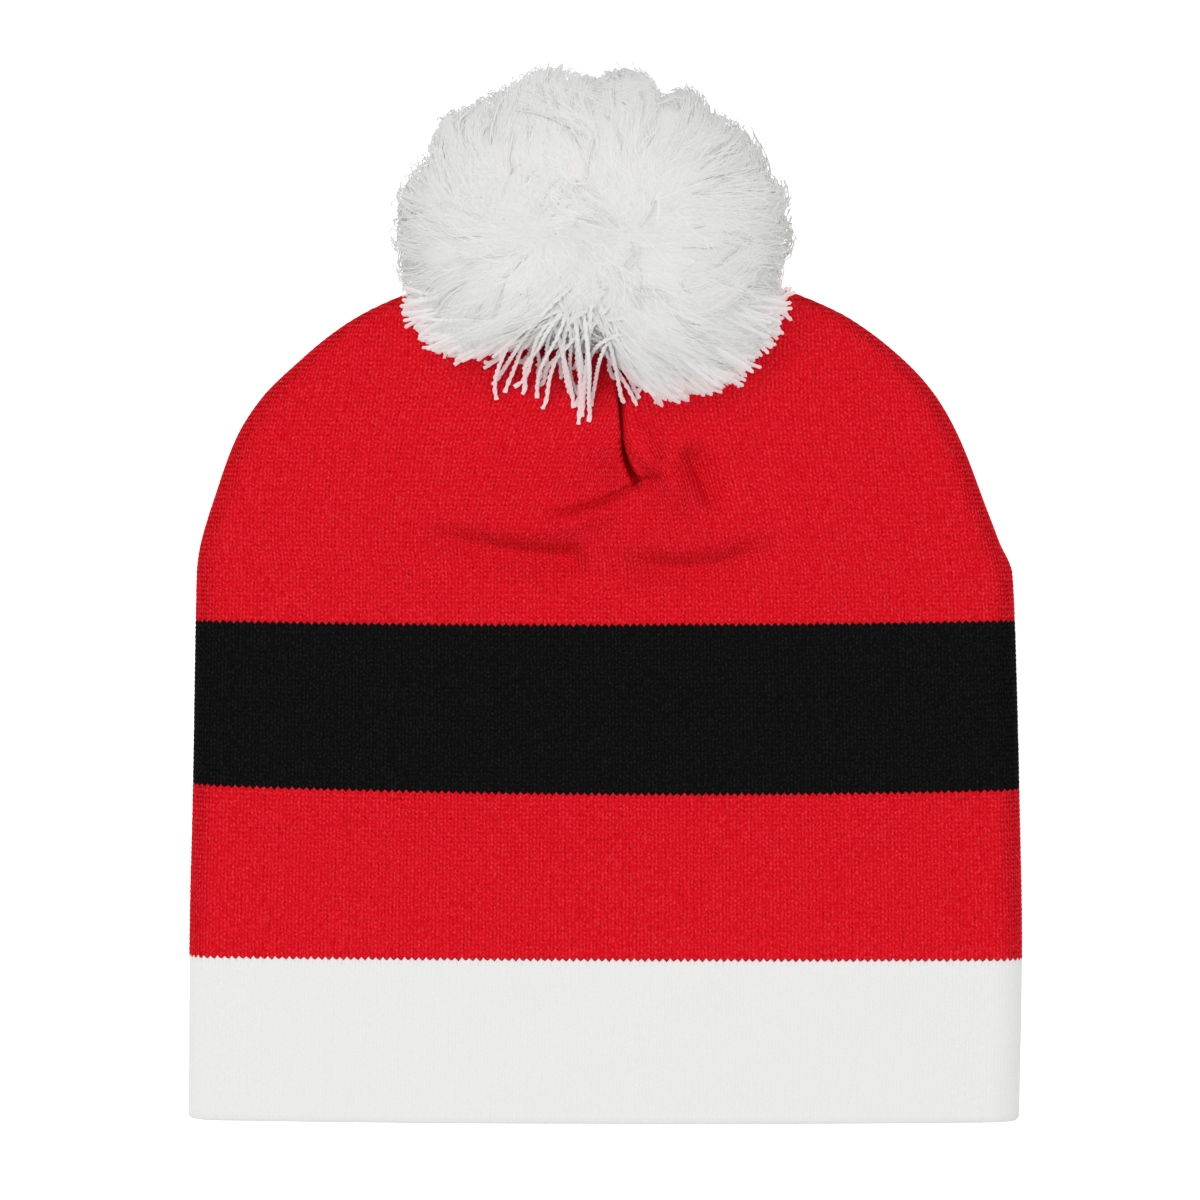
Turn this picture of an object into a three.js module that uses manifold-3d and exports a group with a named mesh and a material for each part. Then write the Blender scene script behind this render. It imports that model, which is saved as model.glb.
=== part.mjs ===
// A striped knit beanie with a yarn pompom, lying flat on its back.
// Millimetres, +Z up: X runs across the hat, +Y from the hem to the crown, and the back panel rests on Z = 0.
import * as THREE from "three";
import { mergeVertices } from "three/addons/utils/BufferGeometryUtils.js";
import Module from "manifold-3d";

const wasm = await Module();
wasm.setup();

// Driving dimensions of the knit body
const HAT_LENGTH = 218; // hem edge to the gathered tip of the crown
const HEM_DEPTH = 41; // the white band
const STRIPE_DEPTH = 42; // the red stripe, and the black one
const WALL = 2.8; // two layers of fine knit
const FOLD_RADIUS = 7.5; // outside radius of the fold down each side of the flat tube
const GATHER = { halfWidth: 8, radius: 3.6 }; // the small slit at the tip that the tie closes
const GAP = 0.3; // clearance between neighbouring pieces

// Driving dimensions of the pompom
const POMPOM_CENTRE = new THREE.Vector3(-2.3, 222.6, 38); // the second number is measured from the hem edge
const POMPOM_RADII = new THREE.Vector3(48.6, 40.8, 40);
const POMPOM_CORE = 0.88; // size of the solid heart, as a share of the ball
const LOCK_COUNT = 70;
const LOCK_REACH = { shortest: 0.97, longest: 1.04 }; // where a lock ends, as a share of the ball
const LOCK_RADIUS = { root: 9, tip: 4.6 };
const LOCK_SIDES = 5;
const LOCK_ROOT = 0.6; // where a lock starts, inside the heart
const LOCK_LEAN = 0.25; // how far a lock turns aside
const SPACE_MARGIN = 1; // how far the pompom's underside keeps off the crown

// A lock's profile: shares of its length, and how far it has narrowed from its root to its tip there.
const LOCK_PROFILE = [
  { share: 0.04, narrowed: 0 },
  { share: 0.75, narrowed: 0.5 },
  { share: 0.94, narrowed: 1 },
];

// The bundle of yarn through the crown's tip: places past the tip, and heights above the middle of the slit.
const TIE_RADIUS = 3;
const TIE_ROUTE = [
  { past: -9, height: 0 },
  { past: -3, height: 0 },
  { past: 4, height: 1 },
  { past: 9, height: 8 },
  { past: 8, height: 20 },
];

// The hat laid flat. "along" is measured from the hem edge, "shift" is how far the middle lies to the right,
// and "lift" is how far the middle of the front panel stands above its side folds.
const OUTLINE = [
  { along: 0, halfWidth: 105, shift: -0.2, lift: -1.2 },
  { along: 41, halfWidth: 105.2, shift: 0.3, lift: -1.6 },
  { along: 83, halfWidth: 104.4, shift: 0.4, lift: -1.4 },
  { along: 125, halfWidth: 103.5, shift: 0.2, lift: 0.2 },
  { along: 138, halfWidth: 103, shift: 0, lift: 1.4 },
  { along: 146, halfWidth: 100.8, shift: -1.1, lift: 2.6 },
  { along: 156, halfWidth: 97.4, shift: -1.5, lift: 4 },
  { along: 172, halfWidth: 91.4, shift: -1.7, lift: 5.2 },
  { along: 182, halfWidth: 85.5, shift: -1.3, lift: 5.2 },
  { along: 192, halfWidth: 76, shift: -0.6, lift: 4.6 },
  { along: 202, halfWidth: 63, shift: -0.6, lift: 3.4 },
  { along: 208, halfWidth: 50.5, shift: -0.8, lift: 2.4 },
  { along: 213, halfWidth: 35, shift: -1.2, lift: 1.4 },
  { along: 216.5, halfWidth: 19, shift: -1.8, lift: 0.5 },
  { along: HAT_LENGTH, halfWidth: GATHER.halfWidth, shift: -2.4, lift: 0 },
];

// Creases and swellings of the front panel, each along a bent line given as [across, along] points.
// "rise" is its full height. It dies away over "reach" to either side, and over the share "fade" at each end.
const FOLDS = [
  { name: "dart", from: [1.5, 210], via: [4.4, 178], to: [8.6, 159.6], reach: 1.9, rise: -6.5, fade: 0.12 },
  { name: "pocket", from: [6.4, 166], via: [7.6, 162], to: [9.4, 158.6], reach: 2.6, rise: -2.6, fade: 0.3 },
  { name: "tuck", from: [10, 160.2], via: [-2, 156.6], to: [-19, 152.2], reach: 2.6, rise: -3, fade: 0.35 },
  { name: "lip", from: [10, 172], via: [10.5, 161], to: [19, 164.5], reach: 3.2, rise: 2.4, fade: 0.4 },
  { name: "shoulder", from: [14, 166.5], via: [21, 166], to: [24, 151], reach: 3.6, rise: 1.7, fade: 0.4 },
  { name: "hollow", from: [22, 168], via: [27.5, 161], to: [29, 149], reach: 3.8, rise: -2, fade: 0.4 },
  { name: "roll", from: [6, 154.5], via: [-8, 151.5], to: [-26, 148.5], reach: 4.2, rise: 1.3, fade: 0.4 },
  { name: "left dent", from: [-44, 150], via: [-24, 143], to: [-2, 143], reach: 5.5, rise: -1.9, fade: 0.4 },
  { name: "right dent", from: [14, 142.5], via: [28, 138], to: [42, 143], reach: 5.5, rise: -1.3, fade: 0.4 },
];

// Loose yarns at the pompom's lower edge, where their tips lie on the front panel.
const FRINGE = [
  { across: -30, along: 187.5 },
  { across: -22, along: 181.5 },
  { across: -16, along: 179 },
  { across: -10.5, along: 178 },
  { across: -5, along: 174.5 },
  { across: 1.5, along: 178.5 },
  { across: 8, along: 181 },
  { across: 15, along: 181.5 },
  { across: 24, along: 182 },
  { across: 33, along: 187.5 },
];
const FRINGE_YARN = { rootRadius: 4.2, tipRadius: 1.1, rootHeight: 26, rootBack: 17, gather: 0.25 };

// Columns round the tube: the front panel from the left, the right fold, the back panel and the left fold.
// A front span runs between shares of the panel's half width, and the crown's is fine where its dart lies.
const CROWN_COLUMNS = {
  front: [
    { from: -1, to: -0.5, count: 4 },
    { from: -0.5, to: -0.05, count: 7 },
    { from: -0.05, to: 0.32, count: 18 },
    { from: 0.32, to: 0.6, count: 4 },
    { from: 0.6, to: 1, count: 3 },
  ],
  fold: 5,
  back: 6,
  creased: true,
};
const BAND_COLUMNS = { front: [{ from: -1, to: 1, count: 14 }], fold: 5, back: 6, creased: false };
const CROWN_STATIONS = 29; // an odd number: the inside uses every second one
const SPACE_STATIONS = 16;
const BAND_STATIONS = 4;
const RIM_STEPS = 4; // facets round the hem's turned edge

const MATERIALS = {
  redKnit: new THREE.MeshStandardMaterial({ color: 0xd41824, roughness: 0.95, metalness: 0 }),
  blackKnit: new THREE.MeshStandardMaterial({ color: 0x131314, roughness: 0.95, metalness: 0 }),
  whiteKnit: new THREE.MeshStandardMaterial({ color: 0xecece9, roughness: 0.95, metalness: 0 }),
  whiteYarn: new THREE.MeshStandardMaterial({ color: 0xf1f0ec, roughness: 0.9, metalness: 0 }),
};

const mix = (a, b, t) => a + (b - a) * t;
const smooth = (t) => t * t * (3 - 2 * t);
const clamp = (t) => Math.min(1, Math.max(0, t));

// A repeatable number from 0 to 1 for each whole number.
function scatter(seed) {
  const wave = Math.sin(seed * 127.1 + 11.7) * 43758.5453;
  return wave - Math.floor(wave);
}

// The slope of one column of the outline at a row: none where the column turns, so that nothing overshoots.
function slopeAt(row, column) {
  const secant = (i) =>
    (OUTLINE[i + 1][column] - OUTLINE[i][column]) / (OUTLINE[i + 1].along - OUTLINE[i].along);
  if (row === 0) return secant(0);
  if (row === OUTLINE.length - 1) return secant(row - 1);
  const [before, after] = [secant(row - 1), secant(row)];
  return before * after <= 0 ? 0 : (2 * before * after) / (before + after);
}

// One column of the outline at any distance from the hem, through its rows on a smooth curve.
function outlineAt(column, along) {
  const place = Math.min(Math.max(along, 0), HAT_LENGTH);
  const next = Math.max(1, OUTLINE.findIndex((row) => row.along >= place));
  const [low, high] = [OUTLINE[next - 1], OUTLINE[next]];
  const span = high.along - low.along;
  const t = (place - low.along) / span;
  const leaving = slopeAt(next - 1, column) * span * t * (1 - t) ** 2;
  const arriving = slopeAt(next, column) * span * t ** 2 * (1 - t);
  return mix(low[column], high[column], smooth(t)) + leaving - arriving;
}

const foldLines = FOLDS.map((fold) => ({
  ...fold,
  points: new THREE.QuadraticBezierCurve(
    new THREE.Vector2(...fold.from),
    new THREE.Vector2(...fold.via),
    new THREE.Vector2(...fold.to),
  ).getPoints(24),
}));

// How far the front panel stands above or below its smooth form.
function foldHeight(across, along) {
  const here = new THREE.Vector2(across, along);
  let height = 0;
  for (const fold of foldLines) {
    let nearest = Infinity;
    let share = 0;
    fold.points.forEach((point, i) => {
      const distance = point.distanceTo(here);
      if (distance < nearest) {
        nearest = distance;
        share = i / (fold.points.length - 1);
      }
    });
    const ends = smooth(clamp(share / fold.fade)) * smooth(clamp((1 - share) / fold.fade));
    height += fold.rise * ends * Math.exp(-((nearest / fold.reach) ** 2));
  }
  return height;
}

// Places along the outline, evenly spaced by its length, with the direction that points out of the hat there.
function stations(from, to, count) {
  const steps = 600;
  const points = Array.from({ length: steps + 1 }, (_, i) => {
    const along = mix(from, to, smooth(i / steps));
    return new THREE.Vector2(along, outlineAt("halfWidth", along));
  });
  const lengths = [0];
  for (let i = 1; i <= steps; i++) lengths.push(lengths[i - 1] + points[i].distanceTo(points[i - 1]));
  return Array.from({ length: count }, (_, k) => {
    const wanted = (lengths[steps] * k) / (count - 1);
    const i = Math.min(steps, Math.max(1, lengths.findIndex((length) => length >= wanted - 1e-9)));
    const atTip = to === HAT_LENGTH && k === count - 1;
    const edge = points[i].clone().sub(points[i - 1]).normalize();
    const outward = atTip ? new THREE.Vector2(1, 0) : new THREE.Vector2(-edge.y, edge.x);
    return { place: points[k === 0 ? 0 : i].clone(), outward };
  });
}

// One loop of points round the flat tube at a station, set in from the outside by "inset".
function ring(station, inset, columns) {
  const along = station.place.x - inset * station.outward.x;
  const halfWidth = Math.max(GATHER.halfWidth, station.place.y - inset * station.outward.y);
  const fold = FOLD_RADIUS - inset;
  const roundOff = clamp((along - (HAT_LENGTH - FOLD_RADIUS)) / fold);
  const radius = Math.max(GATHER.radius, fold * Math.sqrt(1 - roundOff * roundOff));
  const flat = halfWidth - radius;
  const shift = outlineAt("shift", along);
  const lift = outlineAt("lift", along);
  const loop = [];
  const add = (across, height) => loop.push(new THREE.Vector3(shift + across, along, height));
  for (const span of columns.front) {
    for (let i = 0; i < span.count; i++) {
      const share = mix(span.from, span.to, i / span.count);
      const bell = (1 - share * share) ** 2;
      const crease = columns.creased ? foldHeight(shift + share * flat, along) : 0;
      add(share * flat, FOLD_RADIUS + radius + (lift + crease) * bell);
    }
  }
  for (let i = 0; i < columns.fold; i++) {
    const turn = (Math.PI * i) / columns.fold;
    add(flat + radius * Math.sin(turn), FOLD_RADIUS + radius * Math.cos(turn));
  }
  for (let i = 0; i < columns.back; i++) add(mix(flat, -flat, i / columns.back), FOLD_RADIUS - radius);
  for (let i = 0; i < columns.fold; i++) {
    const turn = (Math.PI * i) / columns.fold;
    add(-flat - radius * Math.sin(turn), FOLD_RADIUS - radius * Math.cos(turn));
  }
  return loop;
}

// A closed skin over a row of equal loops. It joins the last loop to the first, or caps both ends.
function skin(loops, capped) {
  const around = loops[0].length;
  const points = loops.flat();
  const triangles = [];
  const bands = capped ? loops.length - 1 : loops.length;
  for (let j = 0; j < bands; j++) {
    const [low, high] = [j * around, ((j + 1) % loops.length) * around];
    for (let i = 0; i < around; i++) {
      const next = (i + 1) % around;
      triangles.push(low + i, high + next, high + i, low + i, low + next, high + next);
    }
  }
  if (capped) {
    const last = (loops.length - 1) * around;
    for (const [start, turned] of [[0, true], [last, false]]) {
      const middle = points.length;
      const sum = new THREE.Vector3();
      for (let i = 0; i < around; i++) sum.add(points[start + i]);
      points.push(sum.divideScalar(around));
      for (let i = 0; i < around; i++) {
        const [a, b] = [start + i, start + ((i + 1) % around)];
        triangles.push(middle, turned ? b : a, turned ? a : b);
      }
    }
  }
  const geometry = new THREE.BufferGeometry().setFromPoints(points);
  return geometry.setIndex(triangles);
}

// The wall of a knit band: up its outside, over the top edge and down its inside.
function bandWall(from, to) {
  const rows = stations(from + GAP / 2, to - GAP / 2, BAND_STATIONS);
  const outside = rows.map((row) => ring(row, 0, BAND_COLUMNS));
  const inside = rows.map((row) => ring(row, WALL, BAND_COLUMNS)).reverse();
  return skin([...outside, ...inside], false);
}

// The white band, whose knit turns in at the mouth on a round edge.
function hemWall() {
  const rows = stations(WALL / 2, HEM_DEPTH - GAP / 2, BAND_STATIONS);
  const outside = rows.map((row) => ring(row, 0, BAND_COLUMNS));
  const inside = rows.map((row) => ring(row, WALL, BAND_COLUMNS)).reverse();
  const edge = [];
  for (let i = 1; i < RIM_STEPS; i++) {
    const turn = (Math.PI * i) / RIM_STEPS;
    const along = (WALL / 2) * (1 - Math.sin(turn));
    const place = new THREE.Vector2(along, outlineAt("halfWidth", along));
    const station = { place, outward: new THREE.Vector2(0, 1) };
    edge.push(ring(station, (WALL / 2) * (1 + Math.cos(turn)), BAND_COLUMNS));
  }
  return skin([...outside, ...inside, ...edge], false);
}

// The crown, from the black stripe to the small slit that its tip is gathered round.
function crownWall() {
  const rows = stations(HEM_DEPTH + 2 * STRIPE_DEPTH + GAP / 2, HAT_LENGTH, CROWN_STATIONS);
  const outside = rows.map((row) => ring(row, 0, CROWN_COLUMNS));
  const sparse = rows.filter((_, i) => i % 2 === 0);
  const inside = sparse.map((row) => ring(row, WALL, CROWN_COLUMNS)).reverse();
  return skin([...outside, ...inside], false);
}

// The space that the crown takes up, filled in, plain and a little larger all round.
function crownSpace() {
  const rows = stations(HEM_DEPTH + 2 * STRIPE_DEPTH, HAT_LENGTH, SPACE_STATIONS);
  return skin(rows.map((row) => ring(row, -SPACE_MARGIN, BAND_COLUMNS)), true);
}

function solid(geometry) {
  const bare = geometry.clone();
  bare.deleteAttribute("normal");
  bare.deleteAttribute("uv");
  const merged = mergeVertices(bare, 1e-4);
  return new wasm.Manifold(
    new wasm.Mesh({
      numProp: 3,
      vertProperties: merged.attributes.position.array,
      triVerts: new Uint32Array(merged.index.array),
    }),
  );
}

function geometryOf(manifold) {
  const mesh = manifold.getMesh();
  return new THREE.BufferGeometry()
    .setAttribute("position", new THREE.BufferAttribute(mesh.vertProperties, 3))
    .setIndex(new THREE.BufferAttribute(mesh.triVerts, 1));
}

// A tapered lock of yarn from a root to a tip, round at both ends.
function lock(root, tip, rootRadius, tipRadius) {
  const length = root.distanceTo(tip);
  const sides = LOCK_PROFILE.map(
    ({ share, narrowed }) => new THREE.Vector2(mix(rootRadius, tipRadius, narrowed), share * length),
  );
  const profile = [new THREE.Vector2(0, 0), ...sides, new THREE.Vector2(0, length)];
  const geometry = new THREE.LatheGeometry(profile, LOCK_SIDES);
  const along = tip.clone().sub(root).normalize();
  const turn = new THREE.Quaternion().setFromUnitVectors(new THREE.Vector3(0, 1, 0), along);
  return geometry.applyQuaternion(turn).translate(root.x, root.y, root.z);
}

// The bundle that closes the crown's tip: from inside the hat, out through the slit and up into the ball.
function tieBundle(radius) {
  const middle = outlineAt("shift", HAT_LENGTH);
  const extrudePath = new THREE.CatmullRomCurve3(
    TIE_ROUTE.map(({ past, height }) => new THREE.Vector3(middle, HAT_LENGTH + past, FOLD_RADIUS + height)),
  );
  const section = new THREE.Shape().absarc(0, 0, radius, 0, 2 * Math.PI);
  const options = { steps: 12, curveSegments: 5, bevelEnabled: false, extrudePath };
  return new THREE.ExtrudeGeometry(section, options);
}

// The pompom: locks fused to a solid heart, flattened by what it lies on, with a sleeve for its tie.
function pompomBall() {
  const heart = new THREE.IcosahedronGeometry(POMPOM_CORE, 2);
  heart.scale(...POMPOM_RADII.toArray()).translate(...POMPOM_CENTRE.toArray());
  const pieces = [heart];
  const golden = Math.PI * (3 - Math.sqrt(5));
  for (let i = 0; i < LOCK_COUNT; i++) {
    const height = 1 - (2 * (i + 0.5)) / LOCK_COUNT;
    const level = Math.sqrt(1 - height * height);
    const way = new THREE.Vector3(level * Math.cos(golden * i), level * Math.sin(golden * i), height);
    const reach = mix(LOCK_REACH.shortest, LOCK_REACH.longest, scatter(i));
    const lean = new THREE.Vector3(scatter(i + 300) - 0.5, scatter(i + 500) - 0.5, scatter(i + 700) - 0.7);
    const outer = way.clone().addScaledVector(lean, LOCK_LEAN).normalize();
    const root = way.clone().multiplyScalar(LOCK_ROOT).multiply(POMPOM_RADII).add(POMPOM_CENTRE);
    const tip = outer.multiplyScalar(reach).multiply(POMPOM_RADII).add(POMPOM_CENTRE);
    const size = mix(0.85, 1.15, scatter(i + 900));
    pieces.push(lock(root, tip, LOCK_RADIUS.root * size, LOCK_RADIUS.tip * size));
  }
  for (const { across, along } of FRINGE) {
    const panel = 2 * FOLD_RADIUS + outlineAt("lift", along) + foldHeight(across, along);
    const tip = new THREE.Vector3(across, along, panel + FRINGE_YARN.tipRadius);
    const rootAcross = mix(across, POMPOM_CENTRE.x, FRINGE_YARN.gather);
    const root = new THREE.Vector3(rootAcross, along + FRINGE_YARN.rootBack, FRINGE_YARN.rootHeight);
    pieces.push(lock(root, tip, FRINGE_YARN.rootRadius, FRINGE_YARN.tipRadius));
  }
  const floor = new THREE.BoxGeometry(400, 400, 200).translate(0, POMPOM_CENTRE.y, -100);
  const fused = pieces.map(solid).reduce((ball, piece) => ball.add(piece));
  const spaces = [crownSpace(), floor, tieBundle(TIE_RADIUS + GAP)].map(solid);
  const bodies = spaces.reduce((ball, space) => ball.subtract(space), fused).decompose();
  bodies.sort((a, b) => b.volume() - a.volume());
  return geometryOf(bodies[0]);
}

function part(name, geometry, material) {
  const mesh = new THREE.Mesh(geometry, material);
  mesh.name = name;
  return mesh;
}

const hat = new THREE.Group();
hat.add(
  part("hem_band", hemWall(), MATERIALS.whiteKnit),
  part("red_stripe", bandWall(HEM_DEPTH, HEM_DEPTH + STRIPE_DEPTH), MATERIALS.redKnit),
  part("black_stripe", bandWall(HEM_DEPTH + STRIPE_DEPTH, HEM_DEPTH + 2 * STRIPE_DEPTH), MATERIALS.blackKnit),
  part("crown", crownWall(), MATERIALS.redKnit),
  part("pompom", pompomBall(), MATERIALS.whiteYarn),
  part("pompom_tie", tieBundle(TIE_RADIUS), MATERIALS.whiteYarn),
);

// The origin is the middle of the hat's own box, on the surface that it lies on.
const box = new THREE.Box3().setFromObject(hat);
hat.position.set(-(box.min.x + box.max.x) / 2, -(box.min.y + box.max.y) / 2, -box.min.z);

const beanie = new THREE.Group();
beanie.add(hat);

export default beanie;
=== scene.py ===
"""A striped knit beanie with a yarn pompom, lying flat and seen from straight above."""
import math

import bpy
import numpy as np
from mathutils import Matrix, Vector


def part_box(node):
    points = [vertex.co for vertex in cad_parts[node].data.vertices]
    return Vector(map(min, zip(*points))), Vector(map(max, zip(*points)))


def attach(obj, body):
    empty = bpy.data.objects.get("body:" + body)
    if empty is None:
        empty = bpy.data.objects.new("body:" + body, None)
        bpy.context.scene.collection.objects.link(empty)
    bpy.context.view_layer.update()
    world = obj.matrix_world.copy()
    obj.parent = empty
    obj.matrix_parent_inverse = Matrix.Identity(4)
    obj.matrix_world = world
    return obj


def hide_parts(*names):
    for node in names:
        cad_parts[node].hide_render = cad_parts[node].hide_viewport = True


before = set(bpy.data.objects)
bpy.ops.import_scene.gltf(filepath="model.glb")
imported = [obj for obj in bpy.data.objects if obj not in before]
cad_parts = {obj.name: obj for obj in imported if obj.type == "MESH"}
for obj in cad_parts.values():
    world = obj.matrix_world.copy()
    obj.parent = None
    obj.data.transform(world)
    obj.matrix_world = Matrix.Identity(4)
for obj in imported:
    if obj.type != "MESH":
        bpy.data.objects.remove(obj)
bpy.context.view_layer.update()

# Sizes of the knit body, in millimetres, as in the solids. "along" is measured from the hem edge.
MM = 0.001
HAT_LENGTH = 218.0
HEM_TOP = 41.0
RED_TOP = 83.0
BLACK_TOP = 125.0
CROWN_TURN = 138.0
WALL = 2.8
FOLD_RADIUS = 7.5
TIP_HALF_WIDTH = 8.0
TIP_RADIUS = 3.6

# The hat laid flat: its half width, how far its middle lies to the right, how far the middle of its front
# panel stands above the side folds, and how its stitch rows lie: how far they hang down towards the hem
# in the middle, how far up they are pushed, and how much further at the left side than in the middle.
OUTLINE_COLUMNS = ("along", "half_width", "shift", "lift", "droop", "pushed", "tilt")
OUTLINE = (
    (0, 105, -0.2, -1.2, 0.9, 0, 0.3),
    (41, 105.2, 0.3, -1.6, 0.5, 0, 0.4),
    (83, 104.4, 0.4, -1.4, 1.9, 1.15, 0.7),
    (125, 103.5, 0.2, 0.2, 1.2, 1, 0),
    (138, 103, 0, 1.4, 0.9, 0.8, 0),
    (146, 100.8, -1.1, 2.6, 0.7, 0.6, 0),
    (156, 97.4, -1.5, 4, 0.5, 0.4, 0),
    (172, 91.4, -1.7, 5.2, 0.3, 0.2, 0),
    (182, 85.5, -1.3, 5.2, 0.2, 0.1, 0),
    (192, 76, -0.6, 4.6, 0.1, 0, 0),
    (202, 63, -0.6, 3.4, 0, 0, 0),
    (208, 50.5, -0.8, 2.4, 0, 0, 0),
    (213, 35, -1.2, 1.4, 0, 0, 0),
    (216.5, 19, -1.8, 0.5, 0, 0, 0),
    (HAT_LENGTH, TIP_HALF_WIDTH, -2.4, 0, 0, 0, 0),
)

# How far below the hem edge a stitch row may hang, the least half width inside the wall, and at how many
# places the outline's slope and the hem's left side are worked out.
HEM_SLACK = 2.0
LEAST_HALF_WIDTH = 0.8 * TIP_HALF_WIDTH
SLOPE_STATIONS = 400
HEM_STATIONS = 200

# A distance too small to tell apart or to divide by.
TINY = 1e-9

# The shallow waves of a panel that lies loose: their height, their lengths in millimetres for each radian,
# and the angle that they start from.
BROAD_WAVE = {"height": 0.3, "across": 17.3, "along": 13.1, "slant": 41, "start": 0.8}
FINE_WAVE = {"height": 0.16, "across": 7.9, "along": 11.3, "slant": 9.7, "start": 1.9}

# Creases and swellings of the front panel: a bent line of (across, along) points, how far each reaches to
# the sides at its start and its end, its height, the shares of its line over which its ends fade, how many
# times further it reaches on the line's left, how square its sides are, and how far cloth rolls into it or
# off it, as a share of the distance from its line.
FOLDS = {
    # name: start, via, end, reach, rise, fade, lean, square, roll
    "dart rim": ((3.6, 206), (1.9, 170), (7.4, 161.6), (0.9, 1.3), -0.6, (0.2, 0.1), 1, 2, 0.3),
    "pocket": ((4.3, 173), (5.0, 165), (8.5, 160.5), (0.4, 0.95), -17, (0.35, 0.03), 1, 4, 0.1),
    "tuck": ((9.5, 161.4), (-3.5, 152.8), (-20, 152.0), (0.45, 0.7), -3.6, (0.06, 0.38), 2.6, 2, 0.6),
    "roll": ((7, 155.4), (-7, 149.4), (-28, 149.2), (2.6, 3), 1.8, (0.4, 0.4), 1, 2, 0.2),
    "lip": ((5.8, 180), (7.8, 165), (15.5, 164.8), (2.0, 2.1), 3.2, (0.3, 0.25), 1.8, 2, 0.4),
    "lip crease": ((16.5, 163.6), (11.5, 160.8), (7.6, 160.8), (0.6, 0.8), -3.4, (0.4, 0.1), 2.2, 2, 0.5),
    "shoulder": ((13, 166.5), (18, 162), (20.5, 150), (2.6, 3.2), 3.0, (0.35, 0.45), 1, 2, 0.2),
    "hollow": ((19, 170), (25.2, 163.4), (28.2, 150.6), (1.7, 2.3), -9.4, (0.35, 0.4), 2.4, 2, 0.5),
    "left dent": ((-3, 142.4), (-24, 141.4), (-50, 150), (2.6, 2.8), -7.8, (0.15, 0.4), 2.6, 2, 0.35),
    "right dent": ((46, 147), (21, 133.4), (2, 143.4), (2.9, 2.9), -6.6, (0.25, 0.35), 2.6, 2, 0.35),
}

# How deep folds can go together, the reach below which a crease is sharp, how deep in the dart stitches
# stop showing, how many times its reach a fold is worked out over, and the points of its line.
DEEPEST_FOLD = 13.0
SHARP_REACH = 1.3
STITCHES_END = 1.5
FOLD_MARGIN = 3
LINE_POINTS = 160

# The dart: the line of its slit, the cloth that it takes from each side, over what distance, from how far
# below it and how soon, where that cloth crowds together, and the distance over which the slit opens. Then
# the slit's half width, how much of it closes with depth, how round its edges are, how deep the taken cloth
# hangs, and where that ends under the pompom. The lip on the dart's right takes more.
DART_LINE = ((3.6, 212), (1.9, 170), (8.2, 160.4))
DART_TAKE = 18.0
DART_SPREAD = 80.0
DART_DRAWS_FROM = 138.0
DART_EASE = 0.8
DART_CROWD = 12.0
DART_OPENS = 15.0
DART_GAP = 0.12
DART_NARROWS = 0.9
DART_ROUND = 0.6
DART_DEPTH = 9.0
DART_CLOSES = (196.0, 208.0)
LIP_TAKE = 4.5
LIP_SPREAD = 7.0
LIP_SPAN = (161.5, 172.0)

# The knit: stitch columns across each panel, the height of a stitch and of its chevron, and its relief,
# which is fainter round the side folds and fades out behind them, where the stitch columns are further
# apart, and close to the seam that narrows the crown. Then how far columns gather and where chevrons end
# near the tip, the steps of the plain inside and of the turned edge, the gap at each border, and the
# distance below which points are joined.
WALES = 121
COURSE = 1.175
CHEVRON = 1.0
CHEVRON_WANDER = 0.2
CHEVRON_TURN = 2.4
FRONT_PER_WALE = 4
SIDE_WALES = 5
BACK_STEP = 2
COLUMN_RELIEF = {0.0: -0.2, 0.25: 0.12, 0.5: -0.15, 0.75: 0.12}
ROW_RELIEF = (-0.12, 0.1)
SIDE_RELIEF = 0.4
SIDE_FADE = 9.0
SEAM_PLAIN = 2.5
STITCH_UNEVENNESS = 0.045
WALE_GATHER = 0.15
PLAIN_TIP = (204.0, 214.0)
INNER_STEP = 3.5
TURNED_EDGE_STEPS = 9
BORDER_GAP = 0.06
WELD_GAP = 0.02

# The pompom: its ball, the line on it that its yarns part from, and the notch in its lower edge that
# yarns fan out from. Shares and reaches here and below are of the ball's radii.
POMPOM_SEED = 7
POMPOM_CENTRE = np.array((-2.3, 222.6, 38.0))
POMPOM_RADII = np.array((48.6, 40.8, 40.0))
PARTING = np.array(((-0.36, -0.04, 0.93), (0.26, -0.08, 0.96)))
NOTCH = np.array((-0.14, -0.78, 0.6))
NOTCH_FAN = 0.95
NOTCH_REACH = 0.45

# The ball's packed middle, and its lumps: their height, and how many radians they turn through in a radius.
HEART_SHARE = 0.93
HEART_RINGS = 60
HEART_COLUMNS = 120
THREADS_PER_COLUMN = 3
HEART_CLEARANCE = 0.3
LUMP = {"height": 0.012, "across": 9, "along": 8, "up": 5, "bend": 2, "bend_along": 7}

# The ball's fine strands: how many ways they are spread over, where they are thinned out or stop low
# down, their size, and how they are shared out between pieces, of which the first alone casts shadows.
YARN_COUNT = 14000
YARN_JITTER = 0.035
HIDDEN_WAY = -0.15
HIDDEN_SHARE = 0.5
LOWEST_WAY = -0.8
YARN_RADIUS = 0.15
YARN_POINTS = 7
YARN_SIDES = 3
YARN_SWELL = (0.95, 1.1)
YARN_UNEVENNESS = 0.1
YARN_PIECES = 3
SHADING_SHARE = 0.05

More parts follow.
